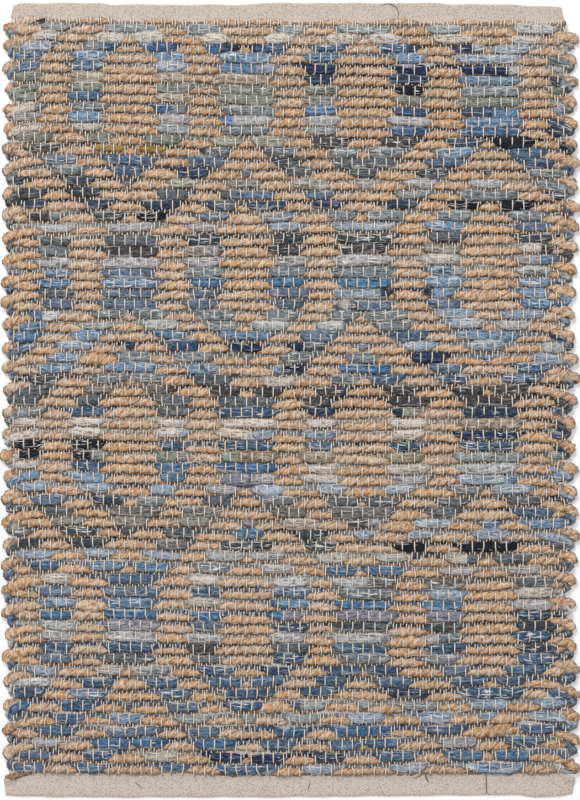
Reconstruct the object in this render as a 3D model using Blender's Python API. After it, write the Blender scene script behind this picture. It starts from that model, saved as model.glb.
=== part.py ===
"""A flat hand-woven rag rug: thick ribbed cloth with looped selvedges and thin turned-under ends.

Units are metres. X runs across the rug along its weft, Y runs along its warp, and Z is up.
The rug lies on z = 0, and its origin is the middle of its underside.
"""

import math
import random

import bmesh
import bpy

# The driving sizes of the cloth.
WIDTH = 0.610
LENGTH = 0.8387
RIB_TOP = 0.0104
RIB_VALLEY = 0.0074
HEM_THICKNESS = 0.0036
EDGE_HEIGHT = 0.0048
UNDER_INSET = 0.0012

# Each rib is one jute pick and one rag pick, beaten up together.
# Columns: rib number, distance of its middle from the far end.
RIBS = 69
BEAT = [
    (1, 0.0221), (5, 0.0611), (12, 0.1391), (21, 0.2402), (28, 0.3214),
    (37, 0.4236), (44, 0.5047), (53, 0.6132), (60, 0.6954), (69, 0.8102),
]

# The sides wander in and out, and the woven ends are narrower than the ribs.
# Columns: rib number, inset of the left side, inset of the right side.
SIDES = [
    (-1, 0.0142, 0.0190), (0, 0.0120, 0.0170), (1, 0.0056, 0.0042), (8, 0.0058, 0.0052),
    (20, 0.0044, 0.0028), (29, 0.0040, 0.0084), (35, 0.0060, 0.0026), (39, 0.0036, 0.0076),
    (48, 0.0048, 0.0026), (54, 0.0026, 0.0072), (57, 0.0056, 0.0060), (62, 0.0062, 0.0022),
    (69, 0.0046, 0.0020), (70, 0.0030, 0.0040), (71, 0.0062, 0.0078),
]

# The weft turns back at the sides, and the jute turns stand out as loops, one for every two ribs.
LOOP_REACH = 0.0042
LOOP_SEED = 24

# Rows that were beaten at a slant or a bow.
# Columns: rib number, spread in ribs, middle of the bow across, spread across, lift towards the far end.
BOWS = [
    (2.0, 3.5, -0.24, 0.10, 0.0028), (8.0, 4.0, 0.20, 0.11, -0.0034), (7.5, 2.5, -0.01, 0.05, -0.0024),
    (13.0, 6.0, -0.24, 0.12, 0.0050), (19.5, 3.0, 0.12, 0.10, 0.0016), (23.3, 2.8, -0.21, 0.18, -0.0039),
    (27.5, 3.0, 0.06, 0.05, -0.0015), (30.5, 2.0, 0.18, 0.06, 0.0015), (32.0, 2.0, -0.15, 0.06, 0.0018),
    (35.5, 2.2, -0.02, 0.05, -0.0024), (36.0, 1.8, 0.28, 0.05, 0.0023), (37.0, 1.8, -0.16, 0.05, 0.0018),
    (42.5, 3.8, 0.13, 0.26, -0.0021), (43.0, 2.5, -0.27, 0.07, 0.0032), (50.2, 2.8, -0.23, 0.15, 0.0047),
    (54.5, 3.6, 0.15, 0.12, -0.0035), (57.0, 2.2, -0.05, 0.07, -0.0029), (58.5, 1.6, 0.12, 0.04, -0.0032),
    (62.8, 1.7, 0.02, 0.09, 0.0028), (63.3, 1.4, -0.28, 0.07, 0.0030), (64.5, 3.4, 0.28, 0.11, 0.0035),
    (68.0, 2.0, -0.02, 0.12, -0.0030),
]

# The two woven ends, whose folded outer edges aren't quite straight.
HEM_DEPTH = 0.0190
HEM_SHOULDER = 0.0016
HEM_INNER = 0.70
# Columns: place across, inset of the far end's edge, inset of the near end's.
HEM_EDGES = [
    (-0.300, 0.0060, 0.0060), (-0.284, 0.0005, 0.0012), (-0.200, 0.0006, 0.0000), (-0.190, 0.0026, 0.0000),
    (-0.046, 0.0026, 0.0003), (-0.030, 0.0000, 0.0000), (0.158, 0.0000, 0.0018), (0.170, 0.0022, 0.0022),
    (0.240, 0.0022, 0.0022), (0.256, 0.0044, 0.0004), (0.283, 0.0050, 0.0006), (0.300, 0.0130, 0.0050),
]

# How finely the cloth's upper face is divided.
COLUMNS_ACROSS = 12
SIDE_SHOULDER = 0.0055
RIB_SHOULDER = 0.0024

JUTE_COLOR = (0.62, 0.47, 0.30, 1.0)
CLOTH_ROUGHNESS = 0.9


def from_table(table, place, column):
    """Read a column of a table at a place in its first column, with straight runs between its rows."""
    for low, high in zip(table, table[1:]):
        if place <= high[0]:
            share = (place - low[0]) / (high[0] - low[0])
            return low[column] + (high[column] - low[column]) * share
    return table[-1][column]


def rib_lift(rib, x):
    """How far a rib is pushed towards the far end at one place across the rug."""
    lift = 0.0
    for middle, ribs, across, spread, height in BOWS:
        lift += height * math.exp(-((rib - middle) / ribs) ** 2 - ((x - across) / spread) ** 2)
    return lift


def rib_y(rib, x):
    """The place along the rug of a rib, or of a valley at a half number."""
    return LENGTH / 2 - from_table(BEAT, rib, 1) + rib_lift(rib, x)


def loop_reaches():
    """How far each jute turn stands out of its side, a little different for each."""
    chance = random.Random(LOOP_SEED)
    return [LOOP_REACH * chance.uniform(0.55, 1.25) for _ in range(RIBS // 2 + 3)]


def side_x(rib, side, reaches):
    """The outline at a rib: side is -1 on the left and 1 on the right."""
    inset = from_table(SIDES, rib, 1 if side < 0 else 2)
    if not 0.5 <= rib <= RIBS + 0.5:
        return side * (WIDTH / 2 - inset)
    turns = (rib + 0.5) / 2 if side < 0 else (rib - 0.5) / 2
    swell = math.cos(math.pi * (turns - round(turns))) ** 2
    return side * (WIDTH / 2 - inset + reaches[round(turns)] * (swell - 0.15))


def hem_edge_y(end, x):
    """The folded outer edge of a woven end: end is 1 at the far end and -1 at the near one."""
    return end * (LENGTH / 2 - from_table(HEM_EDGES, x, 1 if end > 0 else 2))


def cross_lines():
    """The lines across the cloth, far end first.

    Each one says where it lies and how high: ("hem", end, depth, height) or ("rib", rib number, height).
    """
    far_hem = [
        ("hem", 1, 0.0, HEM_THICKNESS / 2),
        ("hem", 1, HEM_SHOULDER, HEM_THICKNESS),
        ("hem", 1, HEM_DEPTH / 2, HEM_THICKNESS),
        ("hem", 1, HEM_DEPTH * HEM_INNER, HEM_THICKNESS),
    ]
    near_hem = [(kind, -end, depth, height) for kind, end, depth, height in reversed(far_hem)]
    pitch = (BEAT[-1][1] - BEAT[0][1]) / (RIBS - 1)
    shoulder = RIB_SHOULDER / pitch
    ribs = []
    for rib in range(1, RIBS + 1):
        ribs.append(("rib", rib - 0.5, RIB_VALLEY if rib > 1 else HEM_THICKNESS * 1.3))
        ribs.append(("rib", rib - shoulder, RIB_TOP))
        ribs.append(("rib", rib + shoulder, RIB_TOP))
    ribs.append(("rib", RIBS + 0.5, HEM_THICKNESS * 1.3))
    return far_hem + ribs + near_hem


def point_on_line(line, column, reaches):
    """One point of the upper face, from its line and its column across."""
    on_hem = line[0] == "hem"
    end = line[1] if on_hem else 0
    rib = (0.0 if end > 0 else RIBS + 1.0) if on_hem else line[1]
    if on_hem:
        rib -= end * (1.0 - line[2] / HEM_DEPTH)
    left = side_x(rib, -1, reaches)
    right = side_x(rib, 1, reaches)
    height = line[-1]
    last = COLUMNS_ACROSS + 4
    if column == 0:
        x = left
    elif column == last:
        x = right
    elif column == 1:
        x = left + SIDE_SHOULDER
    elif column == last - 1:
        x = right - SIDE_SHOULDER
    else:
        share = (column - 1) / (last - 2)
        x = left + SIDE_SHOULDER + (right - left - 2 * SIDE_SHOULDER) * share
    if column in (0, last):
        height = min(height * 0.5, EDGE_HEIGHT)
    y = hem_edge_y(end, x) - end * line[2] if on_hem else rib_y(rib, x)
    return x, y, height


def cloth_mesh():
    """The whole rug as one closed mesh: a ribbed upper face, low sides and a flat underside."""
    lines = cross_lines()
    reaches = loop_reaches()
    columns = COLUMNS_ACROSS + 4
    bm = bmesh.new()
    bmesh.ops.create_grid(bm, x_segments=columns, y_segments=len(lines) - 1, size=0.5)
    for vert in bm.verts:
        column = round((vert.co.x + 0.5) * columns)
        line = round((0.5 - vert.co.y) * (len(lines) - 1))
        vert.co = point_on_line(lines[line], column, reaches)

    # The sides go down to the floor, drawn in a little, and the underside is flat.
    rim = [edge for edge in bm.edges if edge.is_boundary]
    skirt = bmesh.ops.extrude_edge_only(bm, edges=rim)["geom"]
    for vert in (item for item in skirt if isinstance(item, bmesh.types.BMVert)):
        vert.co.x -= math.copysign(UNDER_INSET, vert.co.x)
        vert.co.y *= 1 - UNDER_INSET / LENGTH
        vert.co.z = 0.0
    foot = [edge for edge in bm.edges if edge.is_boundary]
    underside = bmesh.ops.edgeloop_fill(bm, edges=foot)["faces"]
    bmesh.ops.triangulate(bm, faces=underside)
    bmesh.ops.recalc_face_normals(bm, faces=bm.faces)

    # The origin is the middle of the finished outline.
    middle_x = (min(v.co.x for v in bm.verts) + max(v.co.x for v in bm.verts)) / 2
    middle_y = (min(v.co.y for v in bm.verts) + max(v.co.y for v in bm.verts)) / 2
    bmesh.ops.translate(bm, verts=bm.verts, vec=(-middle_x, -middle_y, 0.0))
    mesh = bpy.data.meshes.new("rug")
    bm.to_mesh(mesh)
    bm.free()
    return mesh


def cloth_material():
    """Undyed jute, matt and a little fuzzy."""
    material = bpy.data.materials.new("jute_and_rag_weave")
    material.use_nodes = True
    shader = material.node_tree.nodes["Principled BSDF"]
    shader.inputs["Base Color"].default_value = JUTE_COLOR
    shader.inputs["Roughness"].default_value = CLOTH_ROUGHNESS
    shader.inputs["Metallic"].default_value = 0.0
    return material


for old in list(bpy.data.objects):
    bpy.data.objects.remove(old)

rug_mesh = cloth_mesh()
rug_mesh.materials.append(cloth_material())
rug = bpy.data.objects.new("rug", rug_mesh)
bpy.context.scene.collection.objects.link(rug)
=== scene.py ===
import math
import random

import bmesh
import bpy
import numpy as np
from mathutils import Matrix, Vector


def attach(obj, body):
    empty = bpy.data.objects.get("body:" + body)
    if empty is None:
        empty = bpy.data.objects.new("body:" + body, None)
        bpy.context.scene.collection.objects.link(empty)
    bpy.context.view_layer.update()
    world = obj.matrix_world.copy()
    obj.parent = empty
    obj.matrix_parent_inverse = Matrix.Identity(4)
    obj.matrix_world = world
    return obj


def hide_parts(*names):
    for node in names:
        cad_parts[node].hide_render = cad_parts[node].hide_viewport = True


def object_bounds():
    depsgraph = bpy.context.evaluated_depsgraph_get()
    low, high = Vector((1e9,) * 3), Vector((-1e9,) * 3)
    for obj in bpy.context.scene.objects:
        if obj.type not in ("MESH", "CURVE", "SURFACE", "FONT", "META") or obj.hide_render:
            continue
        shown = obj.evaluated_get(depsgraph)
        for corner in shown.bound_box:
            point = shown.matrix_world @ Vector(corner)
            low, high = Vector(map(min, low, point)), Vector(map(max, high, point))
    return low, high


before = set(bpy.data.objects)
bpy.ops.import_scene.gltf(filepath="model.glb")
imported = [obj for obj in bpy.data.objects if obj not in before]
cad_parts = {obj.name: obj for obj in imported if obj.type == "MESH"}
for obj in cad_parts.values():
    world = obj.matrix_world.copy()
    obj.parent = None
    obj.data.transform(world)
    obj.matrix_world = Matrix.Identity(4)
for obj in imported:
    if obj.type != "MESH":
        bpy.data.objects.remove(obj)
cad_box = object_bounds()

# The camera looks straight down on the rug as it lies on the floor, from high enough to see
# both selvedges square on. The image is 580 by 800 pixels, and the rug is 796 of them long.
IMAGE_LENGTH = 800
RUG_LENGTH_IN_IMAGE = 796
CAMERA_HEIGHT = 3.2
SENSOR = 36.0
RUG_TOP = cad_box[1][2]
rug_length = cad_box[1][1] - cad_box[0][1]
view_length = rug_length * IMAGE_LENGTH / RUG_LENGTH_IN_IMAGE


def in_scene(name, data):
    """A new object in the scene, from its data."""
    made = bpy.data.objects.new(name, data)
    bpy.context.scene.collection.objects.link(made)
    return made


camera = bpy.data.cameras.new("camera")
camera.sensor_width = SENSOR
camera.lens = SENSOR * (CAMERA_HEIGHT - RUG_TOP) / view_length
camera_object = in_scene("camera", camera)
camera_object.location = (0.0, 0.0, CAMERA_HEIGHT)
bpy.context.scene.camera = camera_object

# The warp: some two hundred ends of cream cotton. On each pair every fourth end ties the face weft down and
# the one midway between two such ties holds the back weft up, and the two change over on the next pair. The
# others run straight, between the face weft and the back weft. All run into the headings at both ends.
WARP_ENDS = 205
WARP_PIECES = 2
WARP_RADIUS = 0.00067
WARP_CLEARANCE = 0.0009
WARP_FLOOR = 0.00070
WARP_SWAY = 0.00060
WARP_ARCH = 0.0003
# A tie comes down this far on both sides of the jute, the rag and the first pick, and drops by this much.
TIE_REACH = 0.0033
RAG_TIE_REACH = 0.0049
FIRST_TIE_REACH = 0.0024
TIE_DROP = 0.0014
# Each end runs on into the heading.
WARP_TUCK = 0.0026
WARP_TUCK_HEIGHT = 0.0030
warp_section = [(-WARP_RADIUS, 0.0), (0.0, WARP_RADIUS), (WARP_RADIUS, 0.0), (0.0, -WARP_RADIUS)]
warp_chance = np.random.default_rng(5)

# How it is threaded: to and fro over 11 steps of 4 ends, in blocks of 3 steps, while the treadling steps the
# blocks up, holds, steps them down and holds. Each pair of picks is one of jute and one of rag: the one shows
# on the face where the other is at the back.
PAIRS = 69
STEP_ENDS = 4
POINT_STEPS = 11
BLOCK_STEPS = 3
THREADING_POINTS = [-0.4141, -0.2913, -0.1685, -0.0458, 0.0769, 0.2102, 0.3429]
TREADLING = [3] * 8 + list(range(2, -6, -1)) + [-6] * 8 + list(range(-5, 3))
TREADLING_START = 27
FULL_FLOAT_STEPS = 1.5
# Float ends are this many steps off their places at most, and the first pick sinks no lower than this share.
EDGE_WANDER = 0.38
FIRST_PICK_SHARE = 0.60
# Where each pair was beaten up to: pair, distance from the far end.
BEAT = np.array([
    (1, 0.0221), (5, 0.0611), (12, 0.1391), (21, 0.2402), (28, 0.3214),
    (37, 0.4236), (44, 0.5047), (53, 0.6132), (60, 0.6954), (69, 0.8102),
])
# Rows beaten at a slant or a bow: pair, spread in pairs, place across, spread across, lift.
BOWS = [
    (2.0, 3.5, -0.24, 0.10, 0.0028), (8.0, 4.0, 0.20, 0.11, -0.0034), (7.5, 2.5, -0.01, 0.05, -0.0024),
    (13.0, 6.0, -0.24, 0.12, 0.0050), (19.5, 3.0, 0.12, 0.10, 0.0016), (23.3, 2.8, -0.21, 0.18, -0.0039),
    (27.5, 3.0, 0.06, 0.05, -0.0015), (30.5, 2.0, 0.18, 0.06, 0.0015), (32.0, 2.0, -0.15, 0.06, 0.0018),
    (35.5, 2.2, -0.02, 0.05, -0.0024), (36.0, 1.8, 0.28, 0.05, 0.0023), (37.0, 1.8, -0.16, 0.05, 0.0018),
    (42.5, 3.8, 0.13, 0.26, -0.0021), (43.0, 2.5, -0.27, 0.07, 0.0032), (50.2, 2.8, -0.23, 0.15, 0.0047),
    (54.5, 3.6, 0.15, 0.12, -0.0035), (57.0, 2.2, -0.05, 0.07, -0.0029), (58.5, 1.6, 0.12, 0.04, -0.0032),
    (62.8, 1.7, 0.02, 0.09, 0.0028), (63.3, 1.4, -0.28, 0.07, 0.0030), (64.5, 3.4, 0.28, 0.11, 0.0035),
    (68.0, 2.0, -0.02, 0.12, -0.0030),
]
# The selvedges: pair, inset of the left side, inset of the right side.
SIDES = np.array([
    (-1, 0.0126, 0.0182), (0, 0.0100, 0.0150), (1, 0.0056, 0.0042), (8, 0.0058, 0.0052),
    (20, 0.0044, 0.0028), (29, 0.0040, 0.0084), (35, 0.0060, 0.0026), (39, 0.0036, 0.0076),
    (48, 0.0048, 0.0026), (54, 0.0026, 0.0072), (57, 0.0056, 0.0060), (62, 0.0062, 0.0022),
    (69, 0.0046, 0.0020), (70, 0.0030, 0.0040), (71, 0.0046, 0.0070),
])
RUG_WIDTH = 0.610
RUG_LENGTH = 0.8387
CLOTH_MIDDLE = 0.0052
# The painted shade of the hollows fades out between these distances from the cloth's middle height, and the
# selvedges begin between these distances from its middle line.
HOLLOW_SHADE_DEPTHS = (0.0006, 0.0040)
SELVEDGE = (0.288, 0.298)
SIDE_REACH = 0.060
SIDE_REST = 0.0046

steps_at_points = POINT_STEPS * (np.arange(len(THREADING_POINTS)) - 1.0)
fine_steps = np.arange(-POINT_STEPS, 5 * POINT_STEPS, 0.05)
edge_chance = np.random.default_rng(3)


def steps_at(x):
    return np.interp(x, THREADING_POINTS, steps_at_points)


def x_at(steps):
    return np.interp(steps, steps_at_points, THREADING_POINTS)


def is_jute(shift, steps):
    fold = np.abs((steps + POINT_STEPS) % (2 * POINT_STEPS) - POINT_STEPS)
    return np.floor((fold + 0.5 + shift) / BLOCK_STEPS) % 2 == 0


def block_edges(shift):
    shown = is_jute(shift, fine_steps)
    return fine_steps[1:][shown[1:] != shown[:-1]]


def edges_of(pair):
    """Where a pair's floats end, in steps. Each end is a little off its place, as the beater leaves it."""
    shift = TREADLING[(pair + TREADLING_START) % len(TREADLING)]
    edges = block_edges(shift)
    return edges + edge_chance.uniform(-EDGE_WANDER, EDGE_WANDER, len(edges)), is_jute(shift, fine_steps[0])


edges_of_pair = {pair: edges_of(pair) for pair in range(1, PAIRS + 1)}


def steps_inside(pair, x):
    """How far a place is inside a jute float of this pair, in steps, and below 0 inside a rag float."""
    edges, jute_first = edges_of_pair[pair]
    steps = np.asarray(steps_at(x))
    to_edge = np.min(np.abs(steps[..., None] - edges), axis=-1)
    crossed = np.searchsorted(edges, steps) % 2 == 1
    return np.where(crossed != jute_first, to_edge, -to_edge)


def face_share(weft, pair, x):
    """1 where a weft of this pair floats on the face, 0 where it lies at the back, part where it crosses."""
    inside = steps_inside(pair, x) * weft["side"] + weft["reach"]
    share = np.clip(0.5 + inside / weft["crossing"], 0.0, 1.0)
    share = share * share * (3 - 2 * share)
    return share if pair > 1 else FIRST_PICK_SHARE + (1 - FIRST_PICK_SHARE) * share


def row_y(pair, x):
    """The place along the rug of a pair's jute, where it shows."""
    lift = 0.0
    for middle, pairs, across, spread, height in BOWS:
        lift = lift + height * np.exp(-((pair - middle) / pairs) ** 2 - ((x - across) / spread) ** 2)
    return RUG_LENGTH / 2 - np.interp(pair, BEAT[:, 0], BEAT[:, 1]) + lift


def inset(pair, side):
    return np.interp(pair, SIDES[:, 0], SIDES[:, 1 if side < 0 else 2])


def drawn_in(pair, x):
    """A place across the warp, moved with the selvedge that wanders in and out next to it."""
    left = (inset(pair, -1) - SIDE_REST) * np.clip(1 - (x + RUG_WIDTH / 2) / SIDE_REACH, 0, 1)
    right = (inset(pair, 1) - SIDE_REST) * np.clip(1 - (RUG_WIDTH / 2 - x) / SIDE_REACH, 0, 1)
    return x + left - right


# How the two wefts lie on the face and at the back: how far towards the far end of the row line, and how high
# over the floor. A float arches along the rug and swells in its middle, and is pinched under each tie.
JUTE = {
    "face_y": 0.0, "back_y": -0.0018, "face_z": 0.0070, "back_z": 0.0028, "half": 0.0031,
    "arch": 0.0011, "swell": 0.30, "pinch": 0.11, "dip": 0.0006, "side": 1, "crossing": 1.5, "reach": 0.25,
    "turn": 1.50, "turn_z": 0.0056, "tuck": 0.70, "tuck_z": 0.0028, "turn_twist": 0.0,
}
RAG = {
    "face_y": 0.0042, "back_y": 0.0053, "face_z": 0.0076, "back_z": 0.0037, "half": 0.0022,
    "arch": -0.0007, "swell": 0.18, "pinch": 0.10, "dip": 0.0005, "side": -1, "crossing": 0.9, "reach": 0.0,
    "turn": 0.84, "turn_z": 0.0066, "tuck": 0.85, "tuck_z": 0.0040, "turn_twist": 1.0,
}


def arch_share(weft, pair, x):
    """0 at a float's ends and 1 in the middle of a full one."""
    depth = np.clip(steps_inside(pair, x) * weft["side"] / FULL_FLOAT_STEPS, 0, 1)
    return depth * (2 - depth)


def weft_y(weft, pair, x):
    shift = weft["back_y"] + (weft["face_y"] - weft["back_y"]) * face_share(weft, pair, x)
    return row_y(pair, x) + shift + weft["arch"] * arch_share(weft, pair, x)


def weft_z(weft, pair, x):
    return weft["back_z"] + (weft["face_z"] - weft["back_z"]) * face_share(weft, pair, x)


def yarn_mesh(name, strands, section):
    """One mesh of strands, each an array of rows (x, y, z, radius, tilt), with a section drawn round them.

    Its points are strand by strand and ring by ring. The map's first number is metres along the strand.
    """
    outline = bpy.data.curves.new(name + "_section", "CURVE")
    outline.dimensions = "2D"
    ring = outline.splines.new("POLY")
    ring.points.add(len(section) - 1)
    for point, (side, up) in zip(ring.points, section):
        point.co = (side, up, 0.0, 1.0)
    ring.use_cyclic_u = True
    outline_object = in_scene(name + "_section", outline)
    curve = bpy.data.curves.new(name + "_line", "CURVE")
    curve.dimensions = "3D"
    curve.twist_mode = "Z_UP"
    curve.bevel_mode = "OBJECT"
    curve.bevel_object = outline_object
    curve_object = in_scene(name + "_line", curve)
    for strand in strands:
        spline = curve.splines.new("POLY")
        spline.points.add(len(strand) - 1)
        spline.points.foreach_set("co", np.insert(strand[:, :3], 3, 1.0, axis=1).ravel())
        spline.points.foreach_set("radius", strand[:, 3].copy())
        spline.points.foreach_set("tilt", strand[:, 4].copy())
    shown = curve_object.evaluated_get(bpy.context.evaluated_depsgraph_get())
    mesh = bpy.data.meshes.new_from_object(shown)
    mesh.name = name
    bpy.data.objects.remove(curve_object)
    bpy.data.objects.remove(outline_object)

    along = np.concatenate([length_along(strand) for strand in strands])
    corner = np.empty(len(mesh.loops), int)
    mesh.loops.foreach_get("vertex_index", corner)
    spots = np.empty(2 * len(mesh.loops))
    mesh.uv_layers[0].data.foreach_get("uv", spots)
    spots[0::2] = along[corner // len(section)]
    mesh.uv_layers[0].data.foreach_set("uv", spots)
    return mesh


def length_along(strand):
    return np.insert(np.cumsum(np.linalg.norm(np.diff(strand[:, :3], axis=0), axis=1)), 0, 0.0)


def hung(mesh, material):
    """Shade a finished mesh smooth and hang it in the frame."""
    mesh.shade_smooth()
    mesh.materials.append(material)
    piece = in_scene(mesh.name, mesh)
    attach(piece, "root")
    return piece


def cut_ends_closed(mesh):
    """Close the cut ends of a yarn."""
    bm = bmesh.new()
    bm.from_mesh(mesh)
    open_edges = [edge for edge in bm.edges if edge.is_boundary]
    bmesh.ops.holes_fill(bm, edges=open_edges)
    bmesh.ops.triangulate(bm, faces=[face for face in bm.faces if len(face.verts) > 4])
    bm.to_mesh(mesh)
    bm.free()
    return mesh


class Socket:
    """A socket of a material's nodes, for writing its maths as plain expressions."""

    def __init__(self, tree, link):
        self.tree = tree
        self.link = link

    def node(self, kind, settings=None, inputs=None, output=0):
        made = self.tree.nodes.new(kind)
        for key, value in (settings or {}).items():
            setattr(made, key, value)
        for key, value in (inputs or {}).items():
            if isinstance(value, Socket):
                self.tree.links.new(value.link, made.inputs[key])
            else:
                made.inputs[key].default_value = value
        return Socket(self.tree, made.outputs[output])

    def math(self, operation, other=0.0):
        return self.node("ShaderNodeMath", {"operation": operation}, {0: self, 1: other})

    def __add__(self, other):
        return self.math("ADD", other)

    def __sub__(self, other):
        return self.math("SUBTRACT", other)

    def __rsub__(self, other):
        return self.node("ShaderNodeMath", {"operation": "SUBTRACT"}, {0: other, 1: self})

    def __mul__(self, other):
        return self.math("MULTIPLY", other)

    __radd__ = __add__
    __rmul__ = __mul__

    def rise(self, low, high):
        """0 at low, 1 at high, and smooth between."""
        settings = {"interpolation_type": "SMOOTHSTEP"}
        return self.node("ShaderNodeMapRange", settings, {"Value": self, "From Min": low, "From Max": high})

    def scaled(self, shares, offset):
        """Each part of a colour or a place by its own share, with an offset added."""
        settings = {"operation": "MULTIPLY_ADD"}
        return self.node("ShaderNodeVectorMath", settings, {0: self, 1: shares, 2: offset})

    def parts(self):
        split = self.node("ShaderNodeSeparateXYZ", None, {"Vector": self})
        return [Socket(self.tree, split.link.node.outputs[axis]) for axis in "XYZ"]


def material_of(name, roughness, sheen):
    """A cloth material, and the socket that its nodes start from."""
    material = bpy.data.materials.new(name)
    material.use_nodes = True
    shader = material.node_tree.nodes["Principled BSDF"]
    shader.inputs["Roughness"].default_value = roughness
    shader.inputs["Sheen Weight"].default_value = sheen
    shader.inputs["Specular IOR Level"].default_value = 0.2
    return material, shader, Socket(material.node_tree, None)


def put_on(material, shader, color, height=None, depth=0.0):
    """Feed the colour, and a bump of that depth, to the shader."""
    material.node_tree.links.new(color.link, shader.inputs["Base Color"])
    if height is not None:
        normal = height.node("ShaderNodeBump", None, {"Height": height, "Distance": depth}, "Normal")
        material.node_tree.links.new(normal.link, shader.inputs["Normal"])


def place_on_rug(start):
    return start.node("ShaderNodeTexCoord", None, None, "Object")


def shaded_within(start, color, depth, dark):
    """A colour with painted shade: it darkens from both faces of the cloth towards its hollows, less at the
    selvedges.
    """
    across, _, height = place_on_rug(start).parts()
    from_middle = (height - CLOTH_MIDDLE).math("ABSOLUTE")
    inside = 1 - across.math("ABSOLUTE").rise(*SELVEDGE) * 0.30
    return mixed((1 - from_middle.rise(*HOLLOW_SHADE_DEPTHS)) * inside * depth, color, dark)


def round_yarn(start, per_metre, turns):
    """A place on a yarn for its noise to read: along it, and round it without a seam."""
    along, part_round, _ = start.node("ShaderNodeUVMap", {"uv_map": "UVMap"}).parts()
    angle = part_round * math.tau
    places = {"X": along * per_metre, "Y": angle.math("COSINE") * turns, "Z": angle.math("SINE") * turns}
    return start.node("ShaderNodeCombineXYZ", None, places), along, angle


def mixed(share, low, high):
    """A mix of two colours."""
    settings = {"data_type": "RGBA"}
    return share.node("ShaderNodeMix", settings, {"Factor": share, "A": low, "B": high}, 2)


def noise(place, scale, detail=2.0):
    return place.node("ShaderNodeTexNoise", None, {"Vector": place, "Scale": scale, "Detail": detail}, "Fac")


def dyed(red, green, blue):
    """A colour as a maker would match it on a screen, turned into light."""
    return [((c / 255 + 0.055) / 1.055) ** 2.4 if c > 10 else c / 255 / 12.92 for c in (red, green, blue)]


def shade(red, green, blue):
    return (*dyed(red, green, blue), 1.0)


def warp_end(end):
    """One end from the far heading to the near one: rows of x, y, z, radius, tilt."""
    x = float(x_at((end - 1) / STEP_ENDS))
    sway = np.cumsum(warp_chance.normal(0.0, WARP_SWAY, 2 * PAIRS + 4))
    sway -= np.convolve(sway, np.ones(7) / 7, "same")
    rows = []
    for pair in range(1, PAIRS + 1):
        over = end % STEP_ENDS == (1 if pair % 2 else 3) or (pair == 1 and end % STEP_ENDS == 2)
        under = end % STEP_ENDS == (3 if pair % 2 else 1)
        place = float(drawn_in(pair, x))
        jute_face = float(face_share(JUTE, pair, place))
        rag_face = 1 - jute_face
        jute_y = float(weft_y(JUTE, pair, place))
        rag_y = float(weft_y(RAG, pair, place))
        jute_z = float(weft_z(JUTE, pair, place))
        rag_z = float(weft_z(RAG, pair, place))
        jute_top = jute_z + JUTE["half"] + WARP_CLEARANCE
        rag_top = rag_z + RAG["half"] + WARP_CLEARANCE
        if over:
            face_y = jute_y * jute_face + rag_y * rag_face if pair > 1 else jute_y
            shoulder = (max(jute_top, rag_top) if pair > 1 else jute_top) - TIE_DROP
            reach = TIE_REACH * jute_face + RAG_TIE_REACH * rag_face if pair > 1 else FIRST_TIE_REACH
            points = [(jute_y, jute_top), (face_y + reach, shoulder), (face_y - reach, shoulder)]
            points += [(rag_y, rag_top)] * (pair > 1)
        elif under:
            points = [(jute_y, WARP_FLOOR)] + [(rag_y, WARP_FLOOR)] * (pair > 1)
        else:
            jute_under = max(jute_z - JUTE["half"] - WARP_CLEARANCE, WARP_FLOOR)
            rag_under = max(rag_z - RAG["half"] - WARP_CLEARANCE, WARP_FLOOR)
            jute_pass = jute_top + WARP_ARCH * rag_face + (jute_under - jute_top) * jute_face
            rag_pass = rag_top + WARP_ARCH * jute_face + (rag_under - rag_top) * rag_face
            points = [(jute_y, jute_pass)] + [(rag_y, rag_pass)] * (pair > 1)
        points.sort(reverse=True)
        for part, (y, z) in enumerate(points):
            lean = sway[2 * pair + (2 * part >= len(points))]
            rows.append((place + lean, y, z, 1.0, 0.0))
    first_x, first_y = rows[0][:2]
    last_x, last_y = rows[-1][:2]
    rows.insert(0, (first_x, first_y + WARP_TUCK, WARP_TUCK_HEIGHT, 1.0, 0.0))
    rows.append((last_x, last_y - WARP_TUCK, WARP_TUCK_HEIGHT, 1.0, 0.0))
    return np.array(rows)


warp_material, warp_shader, start = material_of("cotton_warp", 0.9, 0.05)
place, along, angle = round_yarn(start, 400.0, 1.0)
twist = (along * 2600.0 + angle).math("SINE") * 0.5 + 0.5
warp_tone = mixed(noise(place, 1.0), shade(208, 196, 184), shade(238, 228, 216))
# Painted shade: the warp darkens a little towards the cloth's hollows.
warp_tone = shaded_within(start, warp_tone, 0.10, shade(120, 100, 84))
put_on(warp_material, warp_shader, warp_tone, twist, 0.0002)

warp_strands = [warp_end(end) for end in range(WARP_ENDS)]
for part in range(WARP_PIECES):
    strands = warp_strands[part * WARP_ENDS // WARP_PIECES:(part + 1) * WARP_ENDS // WARP_PIECES]
    mesh = yarn_mesh(f"warp_{part + 1}", strands, warp_section)
    hung(cut_ends_closed(mesh), warp_material)

# The jute weft: a thick soft two-ply yarn, laid in from side to side and turned back at each selvedge round
# the outermost end, where it stands out in a fat loop. Its two plies show as slanting lobes.
JUTE_SIDE = 0.0044
JUTE_FLAT = 0.76
JUTE_LUMPS = 0.00022
JUTE_TWIST = 0.0240
FIRST_PICK_THICK = 0.64
JUTE_SAMPLES = 7
JUTE_BACK_EVERY = 2
JUTE_TURN_SAMPLES = 10
WEFT_EDGE_STEPS = (-0.2, 50.7)
JUTE_LOOP_INSET = 0.0052
TURN_DROOP = 1.4
TURN_STAGES = [0.0, 0.25, 0.62, 0.85, 1.0]
TURN_LEAD = 0.030
TURN_DROP = 0.0054
TURN_TAIL = 0.010
TURN_SHARES = {"swell": 0.7, "lift": 0.6, "thin": 0.8, "tuck": 0.6}
TIE_SPREAD_STEPS = 0.17
CROSSING_THIN = 0.80
WANDER = 0.0008
WANDER_KNOTS = 24
# Rings are left out at the back, where less than this share of the weft is on the face.
BACK_SHARE = 0.03
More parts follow.
